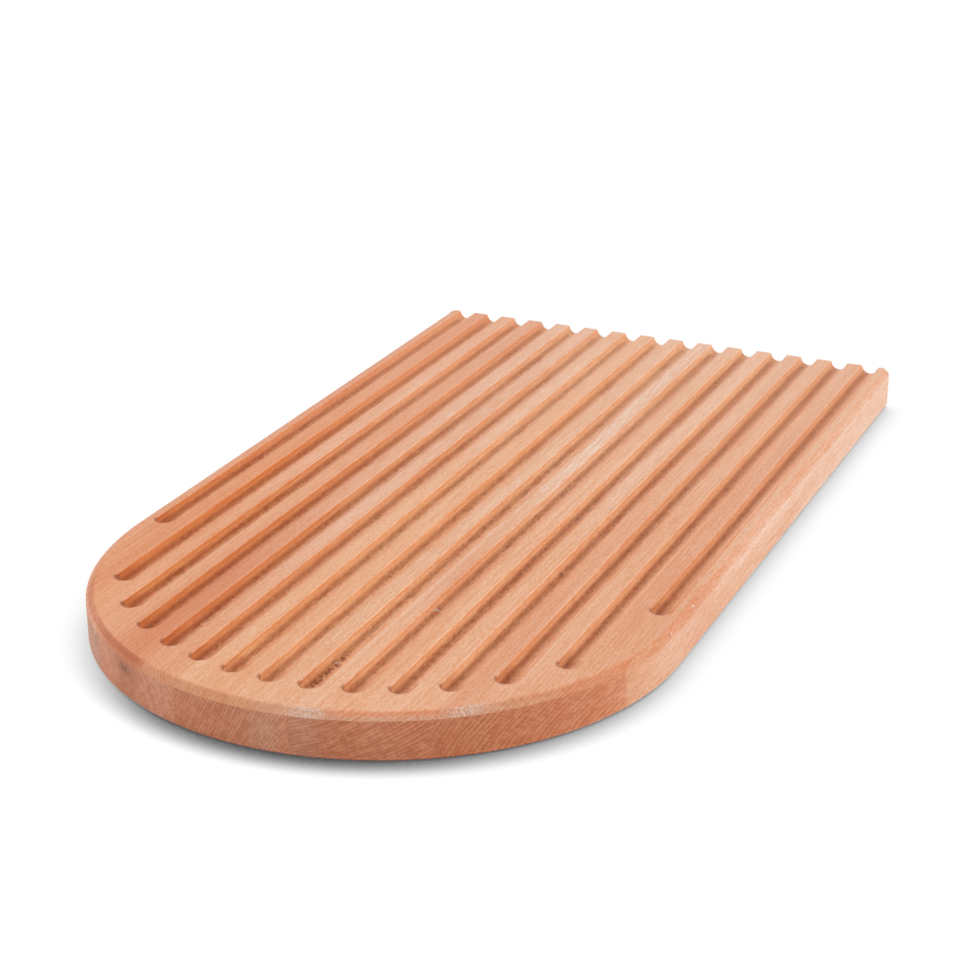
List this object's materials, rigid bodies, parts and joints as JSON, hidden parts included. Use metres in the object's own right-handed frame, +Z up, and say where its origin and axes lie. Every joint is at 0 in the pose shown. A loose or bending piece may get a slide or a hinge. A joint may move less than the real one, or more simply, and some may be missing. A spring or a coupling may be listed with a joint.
{
  "type": "bread board",
  "caption": "Beech bread board with a half-round nose, edge-glued from full-length staves, with lengthwise crumb grooves that run out through the straight back edge.",
  "frame": {"origin": "middle of the board's bounding box, on its underside", "axes": "+X across the board, +Y from the round nose to the straight back along the grooves, +Z up out of the grooved face"},
  "size_m": [0.23, 0.415, 0.018],
  "materials": {
    "beech_stave_1": "fine-sanded bare beech, the reddest stave",
    "beech_stave_2": "fine-sanded bare beech, reddish to pale",
    "beech_stave_3": "fine-sanded bare beech, pale",
    "beech_stave_4": "fine-sanded bare beech, pale",
    "beech_stave_5": "fine-sanded bare beech, pinkish",
    "beech_stave_6": "fine-sanded bare beech, pale",
    "glue": "set wood glue, a thin translucent amber line"
  },
  "bodies": {
    "root": {"stave_1": "beech_stave_1", "stave_2": "beech_stave_2", "stave_3": "beech_stave_3", "stave_4": "beech_stave_4", "stave_5": "beech_stave_5", "stave_6": "beech_stave_6", "glue_line_1": "glue", "glue_line_2": "glue", "glue_line_3": "glue", "glue_line_4": "glue", "glue_line_5": "glue"}
  },
  "joints": []
}
